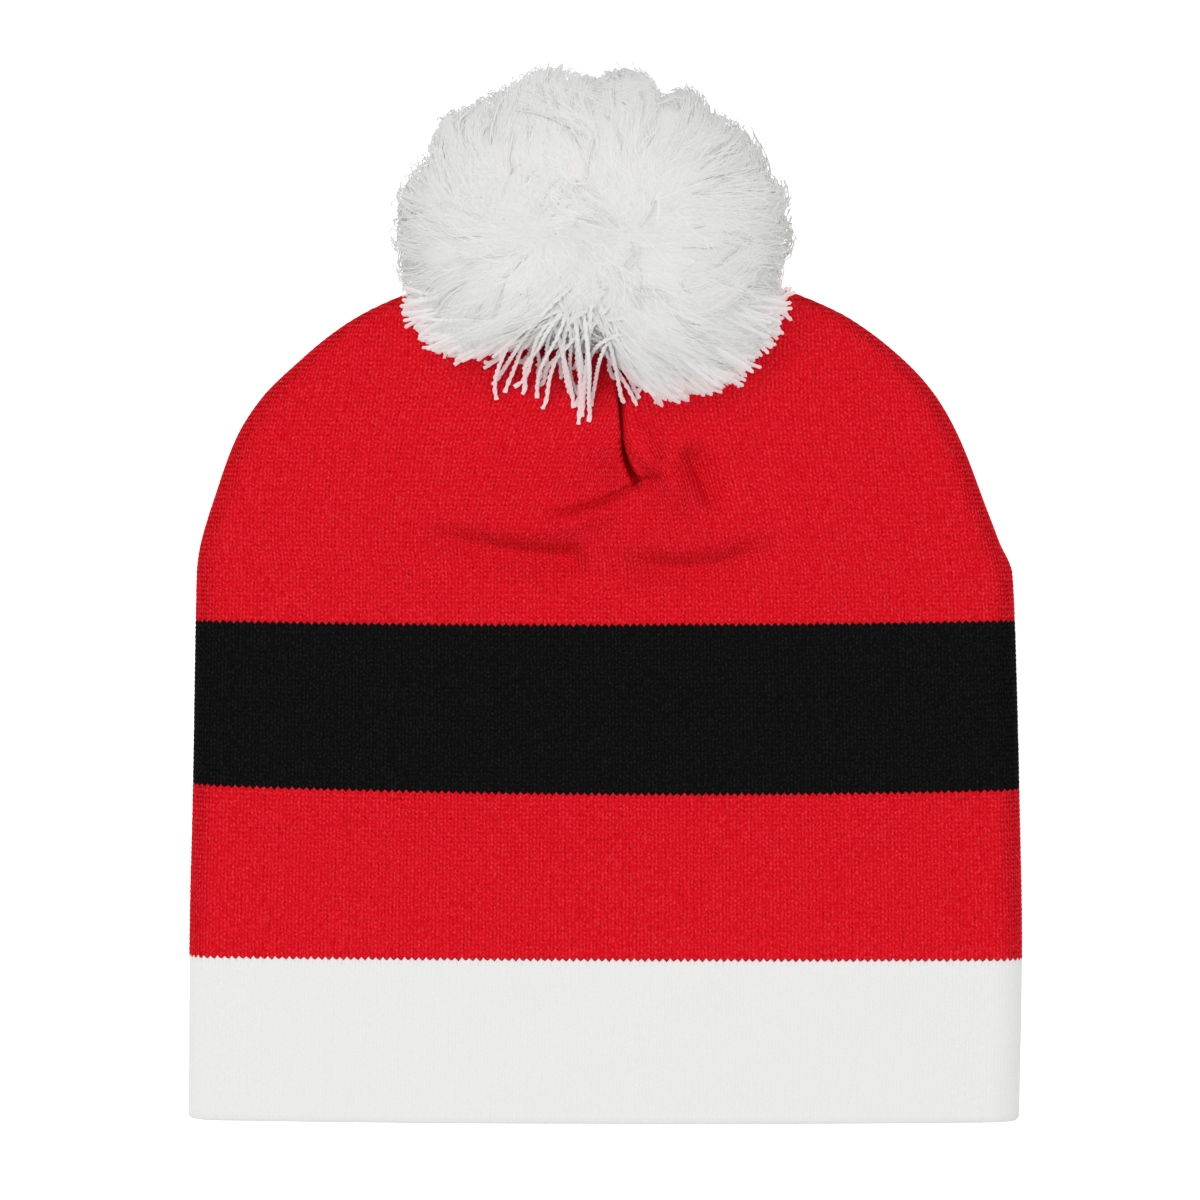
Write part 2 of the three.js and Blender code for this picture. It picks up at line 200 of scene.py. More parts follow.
# How the strands lie: how far they sweep away from the parting, less in its centre, and how much they
# cross there, drift and curl, how tips gather into tufts, and how far out they reach.
SWEEP = {"side": 0.12, "top": 0.62}
SWEEP_SPREAD = (0.75, 1.25)
FLANK = 0.1
CENTRE_STARTS = 0.9
CENTRE_SPAN = 0.08
CENTRE_SWEEP = 0.5
CROSSING = {"side": 0.14, "centre": 0.6}
DRIFT_TURN = 0.45
DRIFT_WAVES = ((6, 2), (5, 1))
CURL = {"side": 0.5, "centre": 0.8}
CURL_TURNS = (4, 10)
ANY_START = (0, 6.3)
TUFT_COUNT = 300
TUFT_JITTER = 0.08
TUFT_TURN = 0.3
TUFT_GATHER = (0.05, 0.55)
TUFT_REACH = 0.02
YARN_ROOT = 0.89
YARN_REACH = (0.98, 0.016)
YARN_REACH_LIMITS = (0.93, 1.04)
YARN_BEND = 1.2

# How yarns are shaded: how much like the whole ball, and how far that is turned up.
SOFTNESS = {"yarn": 0.75, "rim": 0.5, "fringe": 0.7}
LIFTED_SHADING = 1.4

# Tubes: how steep a path is that starts upright, the part of each thread's place that its tube takes up,
# and how many radii a yarn keeps off what it lies on.
UPRIGHT = 0.9
THREAD_MARGIN = 0.05
THREAD_WIDTH = 0.9
CLEARANCE = 1.1

# The ball's edge as seen from above: its bearing in degrees and its size as a share of the ball's radii.
EDGE = (
    # bearing, size
    (-180, 1.0), (-160, 1.02), (-143, 1.07), (-133, 1.02), (-125, 0.88), (-112, 0.7), (-86, 0.68),
    (-79, 0.86), (-73, 1.03), (-54, 1.12), (-38, 1.08), (-23, 1.04), (-17, 0.98), (-2, 1.0),
    (6, 0.965), (14, 1.015), (28, 0.97), (40, 0.975), (50, 0.94), (57, 0.98), (63, 0.98),
    (67, 0.88), (72, 0.97), (81, 0.99), (90, 0.95), (106, 1.035), (118, 0.98), (130, 0.96),
    (139, 1.05), (146, 1.0), (156, 0.985), (167, 1.035), (180, 1.0),
)

# Blunt yarn ends round the lower edge of the ball, between two bearings in radians and two levels: their
# size, how far they sweep, also away from the notch, and how far out they start and reach.
RIM_COUNT = 900
RIM_RADIUS = 0.42
RIM_POINTS = 6
RIM_SIDES = 4
RIM_BEARINGS = (-2.68, -0.44)
RIM_LEVELS = (-0.35, 0.55)
RIM_JITTER = 0.06
RIM_SWEEP = {"always": 0.22, "notch": 0.3}
RIM_ROOT = 0.92
RIM_REACH = (1.03, 0.025)
RIM_REACH_LIMITS = (0.97, 1.08)

# Long loose yarns: the bearing in degrees where each leaves the ball, and the place (across, along) of
# its tip on the crown. Each has a companion at a random distance from it.
FRINGE = (
    # bearing, across, along
    (-120, -37.7, 190.3), (-116, -33.6, 194.0), (-113, -32.4, 192.7), (-112, -30.3, 191.0),
    (-113, -27.3, 181.5), (-111, -25.0, 182.7), (-108, -22.3, 184.3), (-107, -20.7, 182.8),
    (-109, -21.5, 190.9), (-106, -17.3, 181.9), (-100, -16.1, 179.0), (-103, -17.1, 186.2),
    (-114, -9.3, 187.9), (-112, -7.7, 179.3), (-104, -6.2, 175.2), (-99, -7.9, 182.1),
    (-96, -4.3, 175.9), (-92, -5.6, 177.2), (-86, -3.8, 181.6), (-86, -11.0, 190.2),
    (-80, -8.1, 189.3), (-88, 2.4, 186.5), (-93, 8.2, 179.8), (-81, 8.6, 181.6),
)
COMPANION_SPREAD = np.array((10, 2.8, 2))
COMPANION_SHIFT = np.array((0, 0, 5))
FRINGE_LEVEL = 0.72
FRINGE_LEVEL_SPREAD = 0.1
FRINGE_ROOT = HEART_SHARE - 0.02
FRINGE_POINTS = 44
FRINGE_WAVE = 0.4
FRINGE_WAVE_TURNS = (5, 14)
PLY_RADIUS = 0.36
PLY_TURN = 0.24
PLY_PITCH = 6.5
PLY_SIDES = 5

# The two bends of a loose yarn, over the ball's edge and down on to the crown: how much of their place is
# the root's and not the tip's, how widely they scatter, and how far above the root or the tip they stand.
OVER_BEND = {"root_share": np.array((0.35, 0.6, 1)), "scatter": 3, "lift": (0, 4)}
FALL_BEND = {"root_share": 0.3, "scatter": 2, "lift": (0, 3)}

# The knit's colour and relief. Noises over the stitches, which also make the painted shade in its pits
# uneven: how they are stretched, their scale and their detail.
STITCH_NOISES = {
    # name: stretch, scale, detail
    "wander": ((0.8, 0.6, 1), 1.0, 2),
    "uneven": ((0.9, 0.7, 1), 1.0, 2),
    "patchy": ((1.3, 0.8, 1), 1.7, 1),
}
KNIT_WANDER = 0.45
HALF_STITCH = 0.5

# Smooth changes in the knit's colour and relief: from which value to which, and what they go from and to.
# Grooves and notches mark the pits, which get painted shade; legs and rows mark the raised stitches, which
# carry the relief and the painted highlight of the pale flecks.
KNIT_EASES = {
    # name: low, high, result at low, result at high
    "uneven": (0.38, 0.68, 0.0, 1.0),
    "patchy": (0.38, 0.64, 0.0, 0.8),
    "groove column": (0.0, 0.17, 1.0, 0.0),
    "groove row": (0.0, 0.5, 1.0, 0.3),
    "notch column": (0.33, 0.5, 0.0, 1.0),
    "notch row": (0.0, 0.5, 0.3, 1.0),
    "leg rises": (0.0, 0.25, 0.0, 1.0),
    "leg falls": (0.25, 0.5, 0.0, 0.85),
    "row rises": (0.0, 0.3, 0.0, 0.6),
    "fleck_and_highlight": (0.4, 0.7, 0.0, 1.0),
    "fleck rows": (0.4, 1.6, 0.1, 1.0),
    "top course": (HEM_TOP / COURSE - 1.6, HEM_TOP / COURSE - 0.4, 0.0, 1.0),
}

# Fibres of the knit: the scale and detail of its flecks and of its fuzz, and the fuzz's share in the
# relief, whose height is in metres.
FLECK_NOISE = (1700, 2)
FUZZ_NOISE = (2600, 3)
FUZZ_SHARE = 0.7
RELIEF_HEIGHT = 0.0003

# The yarn's finish: fibres along each thread, and smooth changes by thread, by fibre and along the thread.
# The change by thread is cream tone; the change by fibre is painted shade in the hollows of the fibres'
# relief, and the one along the thread is painted shade at the roots.
STREAK_STRETCH = (7, 0.5, 1)
STREAK_NOISE = (1.0, 3)
STREAK_RELIEF = 0.5
YARN_EASES = {"cream": (0.3, 1.0, 0.0, 1.0), "streak": (0.3, 0.6, 0.3, 0.0), "root": (0.0, 9.0, 0.6, 0.0)}

# The floor, the light from all round, and the softbox, in metres and watts.
FLOOR_HALF = 3.0
FLOOR_DROP = 0.0002
FLOOR_GREY = 0.95
FLOOR_GLOW = 0.55
WORLD_STRENGTH = 0.5
SOFTBOX_SIZE = 1.3
SOFTBOX_WATTS = 36.5
SOFTBOX_PLACE = (-0.22, 0.19, 2.15)

# The photograph's frame, in its pixels, and the camera that takes it.
PHOTO_SIZE = 1200
MM_PER_PIXEL = 0.2527
HEM_PIXEL_Y = 1119
MIDDLE_PIXEL_X = 604.5
CAMERA_HEIGHT = 1600.0
SENSOR = 36.0


def smooth(t):
    t = np.clip(t, 0, 1)
    return t * t * (3 - 2 * t)


def unit(vectors):
    return vectors / np.maximum(np.linalg.norm(vectors, axis=-1, keepdims=True), TINY)


def outline(column, along):
    """One column of the outline at any distance from the hem, on a curve that never overshoots its rows."""
    table = np.array(OUTLINE, float)
    x, y = table[:, 0], table[:, OUTLINE_COLUMNS.index(column)]
    secant = np.diff(y) / np.diff(x)
    slope = np.concatenate((secant[:1], np.zeros(len(x) - 2), secant[-1:]))
    same_way = secant[:-1] * secant[1:] > 0
    before, after = secant[:-1][same_way], secant[1:][same_way]
    slope[1:-1][same_way] = 2 * before * after / (before + after)
    place = np.clip(along, 0, HAT_LENGTH)
    i = np.clip(np.searchsorted(x, place) - 1, 0, len(x) - 2)
    span = x[i + 1] - x[i]
    t = (place - x[i]) / span
    leaving = slope[i] * span * t * (1 - t) ** 2
    arriving = slope[i + 1] * span * t**2 * (1 - t)
    return y[i] + (y[i + 1] - y[i]) * smooth(t) + leaving - arriving


def bent_line(start, via, end):
    """Points along a bent line."""
    start, via, end = (np.array(point, float) for point in (start, via, end))
    t = np.linspace(0, 1, LINE_POINTS)[:, None]
    return start * (1 - t) ** 2 + 2 * via * t * (1 - t) + end * t**2


def fold_shift(across, along, inset):
    """How far the folds move the front panel across, along and up, and how deep in a sharp crease each point
    is, as a share. Inside the wall, folds are wider."""
    shift = np.zeros(across.shape + (3,))
    creased = np.zeros(across.shape)
    for start, via, end, reach, rise, fade, lean, square, roll in FOLDS.values():
        line = bent_line(start, via, end)
        heading = np.gradient(line, axis=0)
        margin = FOLD_MARGIN * max(reach) * lean + inset
        low, high = line.min(0) - margin, line.max(0) + margin
        near = (across > low[0]) & (across < high[0]) & (along > low[1]) & (along < high[1])
        here = np.stack((across[near], along[near]), -1)
        distance = np.linalg.norm(here[:, None] - line[None], axis=-1)
        nearest = distance.argmin(1)
        offset = here - line[nearest]
        left_hand = heading[nearest, 0] * offset[:, 1] > heading[nearest, 1] * offset[:, 0]
        share = nearest / (len(line) - 1)
        ends = smooth(share / fade[0]) * smooth((1 - share) / fade[1])
        width = (reach[0] + (reach[1] - reach[0]) * share) * np.where(left_hand, lean, 1.0) + inset
        weight = ends * np.exp(-((distance.min(1) / width) ** square))
        shift[near, :2] += np.sign(rise) * roll * offset * weight[:, None]
        shift[near, 2] += rise * weight
        if max(reach) < SHARP_REACH:
            creased[near] += weight
    return shift, creased


def fold_radius(along, inset):
    """The radius of the side folds, which close up over the rounded end of the crown."""
    fold = FOLD_RADIUS - inset
    turned = np.clip((along - (HAT_LENGTH - FOLD_RADIUS)) / fold, 0, 1)
    return np.maximum(TIP_RADIUS, fold * np.sqrt(1 - turned**2))


def quarter_length(along, inset):
    """Distance round the tube from the middle of a panel to the middle of a side fold."""
    radius = fold_radius(along, inset)
    return outline("half_width", along) - inset - radius + radius * math.pi / 2


def soft_waves(across, along):
    """The shallow unevenness of a panel that lies loose."""
    wave = BROAD_WAVE
    broad = np.sin(across / wave["across"] + wave["start"])
    broad = wave["height"] * (broad * np.sin(along / wave["along"] + across / wave["slant"]))
    wave = FINE_WAVE
    fine = np.sin(across / wave["across"] - along / wave["slant"])
    fine = wave["height"] * (fine * np.sin(along / wave["along"] + wave["start"]))
    return broad + fine


def drawn_to_dart(across, along, inset):
    """Where stitch columns lie once the dart has drawn them in, and how far those that it takes hang down."""
    line = bent_line(*DART_LINE)[::-1]
    off = across - np.interp(along, line[:, 1], line[:, 0])
    far = np.abs(off)
    opened = smooth((along - line[0, 1]) / DART_OPENS)
    crowded = 1 - (1 - opened) * np.exp(-((far / DART_CROWD) ** 2))
    pull = smooth((along - DART_DRAWS_FROM) / (line[-1, 1] - DART_DRAWS_FROM)) ** DART_EASE
    lip = LIP_TAKE * smooth((along - LIP_SPAN[0]) / (LIP_SPAN[1] - LIP_SPAN[0]))
    drawn = DART_TAKE * pull * crowded * np.exp(-((far / DART_SPREAD) ** 2))
    drawn = drawn + np.where(off > 0, lip * np.exp(-far / LIP_SPREAD), 0)
    wall = (DART_GAP + inset) * opened
    left_over = far - drawn - wall
    swallowed = (np.hypot(left_over, DART_ROUND * opened) - left_over) / 2
    closed = smooth((along - DART_CLOSES[0]) / (DART_CLOSES[1] - DART_CLOSES[0]))
    hung = DART_DEPTH * (1 - closed) * np.tanh(swallowed / DART_DEPTH)
    gap = wall * (1 - DART_NARROWS * np.clip(swallowed / DART_DEPTH, 0, 1))
    return across - off + np.sign(off) * (gap + left_over + swallowed), hung


def panel_points(along, arc, on_back, inset):
    """Points of the tube's surface, the direction out of it, and how plainly stitches show there, from
    distances round it and along it."""
    half_width = np.maximum(outline("half_width", along) - inset, LEAST_HALF_WIDTH)
    radius = np.minimum(fold_radius(along, inset), half_width)
    flat = half_width - radius
    side = np.sign(arc)
    turn = np.clip((np.abs(arc) - flat) / radius, 0, math.pi / 2)
    across = np.clip(arc, -flat, flat)
    share = across / np.maximum(flat, TINY)
    front = np.where(on_back, 0.0, (1 - share**2) ** 2)
    across = across + outline("shift", along)
    drawn, hung = drawn_to_dart(across, along, inset)
    across = across + (drawn - across) * front
    shift, creased = fold_shift(across, along, inset)
    fall = shift[..., 2] - hung
    fall = np.where(fall < 0, DEEPEST_FOLD * np.tanh(fall / DEEPEST_FOLD), fall)
    rise = (outline("lift", along) + soft_waves(across, along) + fall) * front
    up = np.where(on_back, -1.0, 1.0)
    height = FOLD_RADIUS + up * radius * np.cos(turn) + rise
    across = across + side * radius * np.sin(turn) + shift[..., 0] * front
    stations = np.linspace(0, HAT_LENGTH, SLOPE_STATIONS)
    slope = np.interp(along, stations, np.gradient(outline("half_width", stations), stations))
    tilt = np.sqrt(1 + slope**2)
    out = np.stack((side * np.sin(turn) / tilt, -slope * np.sin(turn) / tilt, up * np.cos(turn)), -1)
    shown = np.clip(1 - (creased + hung / STITCHES_END) * front, 0, 1)
    return np.stack((across, along + shift[..., 1] * front, height), -1), out, shown


def knit_columns():
    """The loop of stitch columns round the tube: their place in wales, and whether they are on the back."""
    close = 1 / FRONT_PER_WALE
    front = np.arange(0, WALES, close) - WALES / 2
    near_side = np.arange(0, SIDE_WALES, close)
    plain = np.arange(SIDE_WALES, WALES - SIDE_WALES, BACK_STEP)
    far_side = np.arange(WALES - SIDE_WALES, WALES, close)
    back = WALES / 2 - np.concatenate((near_side, plain, far_side))
    wale = np.concatenate((front, back))
    return wale, np.arange(len(wale)) >= len(front)


def column_arcs(wale, along, inset):
    """Where stitch columns would lie round the tube, where its side seam stops them, and what that takes."""
    gathered = 1 - WALE_GATHER * np.clip((along - CROWN_TURN) / (HAT_LENGTH - CROWN_TURN), 0, 1) ** 2
    full = quarter_length(np.minimum(along, CROWN_TURN), inset) * gathered
    limit = quarter_length(along, inset)
    return wale / (WALES / 2) * full, limit, full - limit


def knit_rows(along_rows, inset, ridges, rng, depth=1.0, coarse=False):
    """A grid of points over stitch rows, each bent into chevrons, with their arcs and their stitch places."""
    wale, on_back = knit_columns()
    if coarse:
        wale = np.floor(wale + WALES / 2) - WALES / 2
    stitch = wale + WALES / 2
    phase = np.mod(stitch, 1)
    rows = np.asarray(along_rows, float)[:, None]
    aside = wale / (WALES / 2)
    plain = smooth((rows - PLAIN_TIP[0]) / (PLAIN_TIP[1] - PLAIN_TIP[0]))
    uneven = CHEVRON * (1 + CHEVRON_WANDER * np.sin(CHEVRON_TURN * np.floor(stitch)))
    bent = 0.0 if ridges is None else uneven * (1 - plain)
    behind = (WALES / 2 - np.abs(wale)) / SIDE_WALES
    chevron = bent * np.where(on_back, smooth(1 - behind), 1.0) * (0.5 - np.abs(2 * phase - 1))
    level = rows + outline("pushed", rows) - outline("droop", rows) * (1 - aside**2)
    level = np.clip(level - outline("tilt", rows) * aside, -HEM_SLACK, HAT_LENGTH - inset)
    arc, limit, taken = column_arcs(wale, level, inset)
    off_seam = 1 - smooth(taken / SEAM_PLAIN) * (1 - smooth((limit - np.abs(arc)) / SEAM_PLAIN))
    along = np.clip(level + chevron * off_seam, -HEM_SLACK, HAT_LENGTH - inset)
    arc, limit, _ = column_arcs(wale, along, inset)
    arc = np.clip(arc, -limit, limit)
    points, out, shown = panel_points(along, arc, np.broadcast_to(on_back, along.shape), inset)
    if ridges is not None:
        relief = np.array([COLUMN_RELIEF[p] for p in phase]) + np.asarray(ridges)[:, None]
        relief = relief + rng.normal(0, STITCH_UNEVENNESS, relief.shape)
        inward = smooth((limit - np.abs(arc)) / SIDE_FADE)
        in_front = SIDE_RELIEF + (1 - SIDE_RELIEF) * inward
        shown = shown * np.where(on_back, SIDE_RELIEF * (1 - inward), in_front)
        points = points + out * (depth * shown * off_seam * relief)[..., None]
    places = np.stack(np.broadcast_arrays(stitch, rows / COURSE), -1)
    return points, arc, places


def weld(points, arc):
    """Numbers for a grid's points, one for all that a seam draws together in a row, and the points kept."""
    rows, around = arc.shape
    flat_step = np.abs(np.diff(arc, axis=1, prepend=np.nan)) < TINY
    gap = np.linalg.norm(np.diff(points, axis=1, prepend=np.nan), axis=-1)
    joined = flat_step | (gap < WELD_GAP)
    joined[:, 0] = False
    first = ~joined
    number = np.cumsum(first.ravel()).reshape(rows, around) - 1
    closes = np.abs(arc[:, -1] - arc[:, 0]) < TINY
    number = np.where(closes[:, None] & (number == number[:, -1:]), number[:, :1], number)
    return number, points[first]


def loop_faces(low, high):
    """Triangles between two neighbouring loops of numbers."""
    low_next, high_next = np.roll(low, -1, axis=-1), np.roll(high, -1, axis=-1)
    lower = np.stack((low, high_next, high), -1).reshape(-1, 3)
    upper = np.stack((low, low_next, high_next), -1).reshape(-1, 3)
    return np.concatenate((lower, upper))


def place_in_frame(points):
    """Hat millimetres to the frame's metres. The hem's edge and left side are where the solid has them."""
    lowest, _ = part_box("hem_band")
    along = np.linspace(0, HEM_TOP, HEM_STATIONS)
    left = (outline("shift", along) - outline("half_width", along)).min()
    offset = np.array((lowest.x - left * MM, lowest.y, 0))
    return points * MM + offset


def build_mesh(name, points, faces, uv, normals=None):
    """A smooth-shaded mesh object from arrays of points, triangles and a pair of numbers for each corner."""
    mesh = bpy.data.meshes.new(name)
    used = np.unique(faces)
    renumber = np.zeros(len(points), np.int64)
    renumber[used] = np.arange(len(used))
    mesh.vertices.add(len(used))
    mesh.vertices.foreach_set("co", place_in_frame(points[used]).astype(np.float32).ravel())
    mesh.loops.add(faces.size)
    mesh.loops.foreach_set("vertex_index", renumber[faces].astype(np.int32).ravel())
    mesh.polygons.add(len(faces))
    mesh.polygons.foreach_set("loop_start", np.arange(0, faces.size, 3, dtype=np.int32))
    mesh.polygons.foreach_set("use_smooth", np.ones(len(faces), bool))
    mesh.uv_layers.new(name="thread").data.foreach_set("uv", uv.astype(np.float32).ravel())
    mesh.update(calc_edges=True)
    if normals is not None:
        mesh.normals_split_custom_set_from_vertices(normals[used].astype(np.float32))
    piece = bpy.data.objects.new(name, mesh)
    bpy.context.scene.collection.objects.link(piece)
    return piece


def knit_piece(name, low, high, turned_edge, depth, seed):
    """One knit band: its stitches outside, its plain inside, and its edges, which turn in at the mouth."""
    rng = np.random.default_rng(seed)
    courses = round((high - low) / COURSE)
    outer = np.linspace(low + BORDER_GAP, high - BORDER_GAP, 2 * courses + 1)
    ridges = np.array([ROW_RELIEF[i % 2] for i in range(len(outer))])
    lowest = WALL / 2 if turned_edge else low + BORDER_GAP
    keep = outer >= lowest
    grids = [knit_rows(outer[keep], 0.0, ridges[keep], rng, depth)]
    inner = np.linspace(high - BORDER_GAP, lowest, round((high - lowest) / INNER_STEP) + 1)
    grids.append(knit_rows(inner, WALL, None, rng, coarse=True))
    if turned_edge:
        for turn in np.linspace(0, math.pi, TURNED_EDGE_STEPS)[1:-1]:
            row = WALL / 2 * (1 - math.sin(turn))
            grids.append(knit_rows([row], WALL / 2 * (1 + math.cos(turn)), None, rng))
    numbers, kept, places, count = [], [], [], 0
    for points, arc, place in grids:
        number, unique = weld(points, arc)
        numbers.append(number + count)
        kept.append(unique)
        places.append(place)
        count += len(unique)
    loops = np.concatenate(numbers)
    grid = np.arange(loops.size).reshape(loops.shape)
    corners = loop_faces(grid, np.roll(grid, -1, axis=0))
    faces = loops.ravel()[corners]
    whole = (faces != np.roll(faces, 1, axis=1)).all(1)
    uv = np.concatenate(places).reshape(-1, 2)[corners[whole]]
    return build_mesh(name, np.concatenate(kept), faces[whole], uv)


def surface_under(points):
    """The height of what lies under points: the crown's front panel where there is one, or else the floor."""
    along = points[..., 1]
    across = points[..., 0] - outline("shift", along)
    half_width = outline("half_width", along)
    radius = fold_radius(along, 0.0)
    flat = half_width - radius
    share = np.clip(across / flat, -1, 1)
    over = np.clip((np.abs(across) - flat) / radius, 0, 1)
    height = FOLD_RADIUS + radius * np.sqrt(1 - over**2) + outline("lift", along) * (1 - share**2) ** 2
    covered = (np.abs(across) < half_width) & (along < HAT_LENGTH)
    return np.where(covered, height, 0.0)


def settle(paths, radius):
    """Lifts yarns off whatever they would sink into."""
    paths[..., 2] = np.maximum(paths[..., 2], surface_under(paths) + radius * CLEARANCE)
    return paths


def carried_frame(paths):
    """Two directions across paths, carried from point to point so that they never flip."""
    tangent = unit(np.gradient(paths, axis=1))
    upright = np.abs(tangent[:, 0, 2:]) > UPRIGHT
    carried = np.cross(tangent[:, 0], np.where(upright, np.array((1.0, 0, 0)), np.array((0, 0, 1.0))))
    first = np.empty_like(tangent)
    for step in range(paths.shape[1]):
        along = tangent[:, step]
        carried = unit(carried - (carried * along).sum(1, keepdims=True) * along)
        first[:, step] = carried
    return first, np.cross(tangent, first)


def lengths_along(paths):
    """How far along its path each point is."""
    return np.cumsum(np.linalg.norm(np.diff(paths, axis=1, prepend=paths[:, :1]), axis=-1), axis=1)


def tubes(paths, radii, sides):
    """Tubes along paths, shut at both ends: their points, triangles, thread places for each corner, and the
    direction out of each point."""
    count, steps = paths.shape[:2]
    first, second = carried_frame(paths)
    angle = np.linspace(0, 2 * math.pi, sides, endpoint=False)
    around = first[:, :, None] * np.cos(angle)[:, None] + second[:, :, None] * np.sin(angle)[:, None]
    points = paths[:, :, None] + around * radii[:, :, None, None]
    index = np.arange(count * steps * sides).reshape(count, steps, sides)
    low, high = index[:, :-1], index[:, 1:]
    low_next, high_next = np.roll(low, -1, axis=2), np.roll(high, -1, axis=2)
    walls = np.stack((low, low_next, high_next, low, high_next, high), -1).reshape(-1, 3)
    length = lengths_along(paths)
    v_low = np.broadcast_to(length[:, :-1, None], low.shape)
    v_high = np.broadcast_to(length[:, 1:, None], low.shape)
    thread = np.arange(count)[:, None, None] + THREAD_MARGIN
    u_low = np.broadcast_to(thread + THREAD_WIDTH * np.arange(sides) / sides, low.shape)
    u_high = u_low + THREAD_WIDTH / sides
    lower = (u_low, v_low), (u_high, v_low), (u_high, v_high)
    upper = (u_low, v_low), (u_high, v_high), (u_low, v_high)
    wall_uv = np.stack([np.stack(corner, -1) for corner in lower + upper], -2).reshape(-1, 2)
    fan = np.arange(1, sides - 1)
    root = np.stack((index[:, 0, :1] + 0 * fan, index[:, 0, fan + 1], index[:, 0, fan]), -1)
    tip = np.stack((index[:, -1, :1] + 0 * fan, index[:, -1, fan], index[:, -1, fan + 1]), -1)
    ends = np.concatenate((root, tip), axis=1)
    end_uv = np.zeros(ends.shape + (2,))
    end_uv[..., 0] = thread + THREAD_WIDTH / 2
    faces = np.concatenate((walls, ends.reshape(-1, 3)))
    uv = np.concatenate((wall_uv, end_uv.reshape(-1, 2)))
    return points.reshape(-1, 3), faces, uv, around.reshape(-1, 3)


def ways_at(bearing, height):
    """Directions from the ball's middle, from their bearings and heights."""
    level = np.sqrt(1 - height**2)
    return np.stack((level * np.cos(bearing), level * np.sin(bearing), height), -1)


def scattered_ways(count, rng, jitter):
    """Directions spread over a sphere, each moved a little."""
    i = np.arange(count) + 0.5
    ways = ways_at(i * math.pi * (3 - math.sqrt(5)), 1 - 2 * i / count)
    return unit(ways + rng.normal(0, jitter, ways.shape))


def off_parting(ways):
    """Directions over the ball that lead away from its parting, and how near to the parting each way is."""
    start, end = unit(PARTING)
    share = np.clip((ways - start) @ (end - start) / ((end - start) @ (end - start)), 0, 1)
    pole = unit(start + share[:, None] * (end - start))
    nearness = (ways * pole).sum(1)
    return unit(ways * nearness[:, None] - pole), nearness


def fanned(ways, away):
    """Directions over the ball, turned away from the notch near it, and how strongly."""
    nearness = ways @ unit(NOTCH)
    strength = NOTCH_FAN * np.exp((nearness - 1) / NOTCH_REACH)
    from_notch = unit(ways * nearness[:, None] - unit(NOTCH))
    return unit(away + from_notch * strength[:, None]), strength


def ball_size(ways):
    """The ball's size each way, as a share of its radii."""
    bearing = np.degrees(np.arctan2(ways[..., 1], ways[..., 0]))
    edge = np.array(EDGE, float)
    level = np.clip(1 - ways[..., 2] ** 2, 0, 1)
    return 1 + (np.interp(bearing, edge[:, 0], edge[:, 1]) - 1) * level


def ball_point(ways, radius, size):
    return ways * radius * size[..., None] * POMPOM_RADII + POMPOM_CENTRE


def waving(t, count, turns, rng):
    """A wave along each path, of a random length and start."""
    return np.sin(t * rng.uniform(*turns, (count, 1, 1)) + rng.uniform(*ANY_START, (count, 1, 1)))


def ball_yarns(rng):
    """Paths of the ball's fine strands, combed away from the parting and gathered into tufts at the tips."""
    ways = scattered_ways(YARN_COUNT, rng, YARN_JITTER)
    hidden = (ways[:, 2] < HIDDEN_WAY) & (rng.random(len(ways)) < HIDDEN_SHARE)
    ways = ways[(ways[:, 2] > LOWEST_WAY) & ~hidden]
    count = len(ways)
    tufts = scattered_ways(TUFT_COUNT, rng, TUFT_JITTER)
    tuft = (ways @ tufts.T).argmax(1)
    away, nearness = off_parting(ways)
    away, _ = fanned(ways, away)
    facing = smooth(nearness * (1 + FLANK) - FLANK)
    amount = SWEEP["side"] + (SWEEP["top"] - SWEEP["side"]) * facing
    amount = amount * rng.uniform(*SWEEP_SPREAD, count)
    central = smooth((nearness - CENTRE_STARTS) / CENTRE_SPAN)
    amount = amount * (1 - CENTRE_SWEEP * central)
    crossing = CROSSING["side"] + CROSSING["centre"] * central
    drift = DRIFT_TURN
    for axis, (waves, start) in enumerate(DRIFT_WAVES):
        drift = drift * np.sin(waves * ways[:, axis] + start)
    turn = drift + rng.normal(0, TUFT_TURN, TUFT_COUNT)[tuft] + rng.normal(0, 1, count) * crossing
    heading = away * np.cos(turn)[:, None] + np.cross(ways, away) * np.sin(turn)[:, None]
    tips = unit(ways + heading * amount[:, None])
    middle = np.zeros((TUFT_COUNT, 3))
    np.add.at(middle, tuft, tips)
    tips = unit(tips + (unit(middle)[tuft] - tips) * rng.uniform(*TUFT_GATHER, (count, 1)))
    reach = rng.normal(*YARN_REACH, count) + rng.normal(0, TUFT_REACH, TUFT_COUNT)[tuft]
    reach = np.clip(reach, *YARN_REACH_LIMITS)[:, None, None]
    t = np.linspace(0, 1, YARN_POINTS)[None, :, None]
    lying = unit(ways[:, None] * (1 - t**YARN_BEND) + tips[:, None] * t**YARN_BEND)
    radius = YARN_ROOT + (reach - YARN_ROOT) * (1 - (1 - t) ** 2)
    wave = waving(t, count, CURL_TURNS, rng)
    curl = (CURL["side"] + CURL["centre"] * central)[:, None, None]
    curl = rng.normal(0, 1, (count, 1, 3)) * curl * wave * t
    return ball_point(lying, radius, ball_size(lying)) + curl


